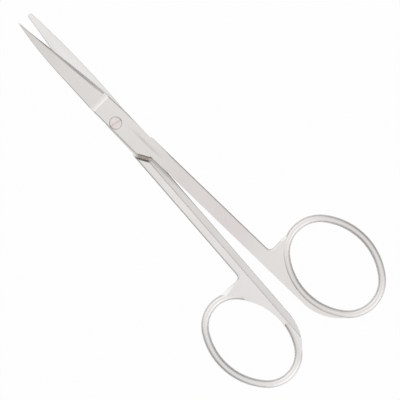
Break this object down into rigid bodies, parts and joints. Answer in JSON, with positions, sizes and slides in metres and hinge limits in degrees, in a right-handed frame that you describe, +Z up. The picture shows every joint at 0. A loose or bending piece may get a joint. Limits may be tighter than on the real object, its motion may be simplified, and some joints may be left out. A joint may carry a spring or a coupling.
{
  "type": "iris scissors",
  "caption": "Straight fine surgical scissors with one sharp and one blunt blade tip, a slotted pivot screw and oval finger rings.",
  "frame": {"origin": "foot of the pivot screw's axis, on the surface the scissors rest on", "axes": "+X along the mid-line to the blade tips, +Y to the rear half's finger ring, +Z up along the screw to its slotted head"},
  "size_m": [0.1151, 0.0502, 0.0037],
  "materials": {
    "blade_steel": "satin",
    "screw_steel": "satin"
  },
  "bodies": {
    "rear": {"rear_half": "blade_steel", "pivot_screw": "screw_steel"},
    "front": {"front_half": "blade_steel"}
  },
  "joints": [
    {"name": "blade_hinge", "type": "hinge", "parent": "rear", "child": "front", "pos_m": [0, 0, 0.0018], "axis": [0, 0, 1], "range_deg": [-5.2, 130]}
  ]
}
